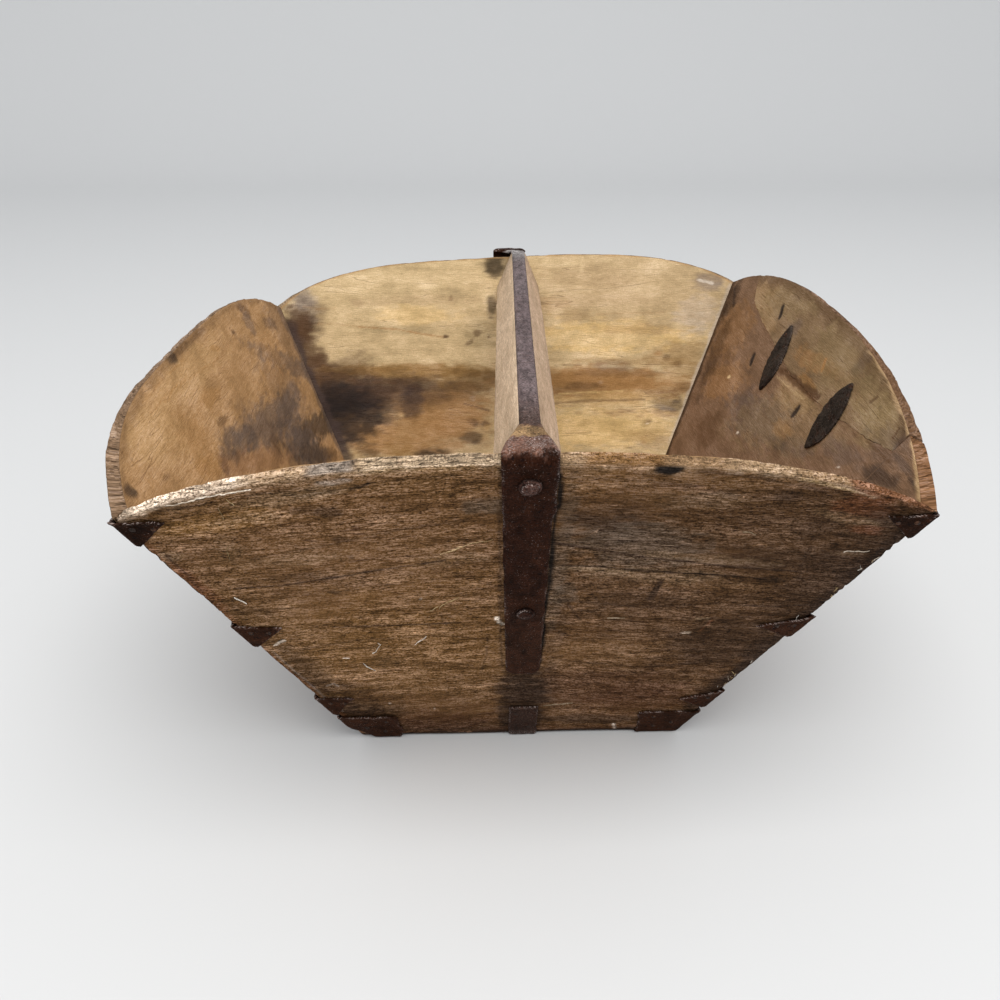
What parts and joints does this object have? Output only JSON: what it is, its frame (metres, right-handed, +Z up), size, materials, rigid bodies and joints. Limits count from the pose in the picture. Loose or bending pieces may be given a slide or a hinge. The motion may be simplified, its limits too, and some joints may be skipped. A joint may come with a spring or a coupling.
{
  "type": "garden trug",
  "caption": "Square flared wooden trug with arched boards, a fixed bar handle under an iron strap, and folded irons round its corners; it carries produce and tools by hand.",
  "frame": {"origin": "on the ground, under the middle of the base, at the underside of the base strap", "axes": "+Z up; +Y from the front of the trug to its back, along the handle; +X to the right, towards the mended end"},
  "size_m": [0.4301, 0.445, 0.2579],
  "materials": {
    "board_wood": "old softwood, weathered brown outside and honey inside, dry and matt",
    "base_wood": "old softwood, stained and matt",
    "handle_wood": "pale grey-pink wood worn smooth by hands",
    "strap_iron": "forged iron, dark red-brown, pitted, polished by wear on the ridge and the bend",
    "corner_iron": "thin dark sheet iron, rusted, with bright cut edges"
  },
  "bodies": {
    "root": {"front_board": "board_wood", "back_board": "board_wood", "left_end_board": "board_wood", "right_end_board": "board_wood", "right_end_arch_piece": "board_wood", "base_board": "base_wood", "handle_bar": "handle_wood", "front_handle_strap": "strap_iron", "back_handle_strap": "strap_iron", "base_strap": "strap_iron", "front_upper_rivet": "strap_iron", "front_lower_rivet": "strap_iron", "back_upper_rivet": "strap_iron", "back_lower_rivet": "strap_iron", "front_left_rim_iron": "corner_iron", "front_left_middle_iron": "corner_iron", "front_left_low_iron": "corner_iron", "front_left_foot_iron": "corner_iron", "front_right_rim_iron": "corner_iron", "front_right_middle_iron": "corner_iron", "front_right_low_iron": "corner_iron", "front_right_foot_iron": "corner_iron", "back_right_rim_iron": "corner_iron", "back_right_middle_iron": "corner_iron", "back_right_low_iron": "corner_iron", "back_right_foot_iron": "corner_iron", "back_left_rim_iron": "corner_iron", "back_left_middle_iron": "corner_iron", "back_left_low_iron": "corner_iron", "back_left_foot_iron": "corner_iron", "rear_mending_plate": "corner_iron", "front_mending_plate": "corner_iron"}
  },
  "joints": []
}
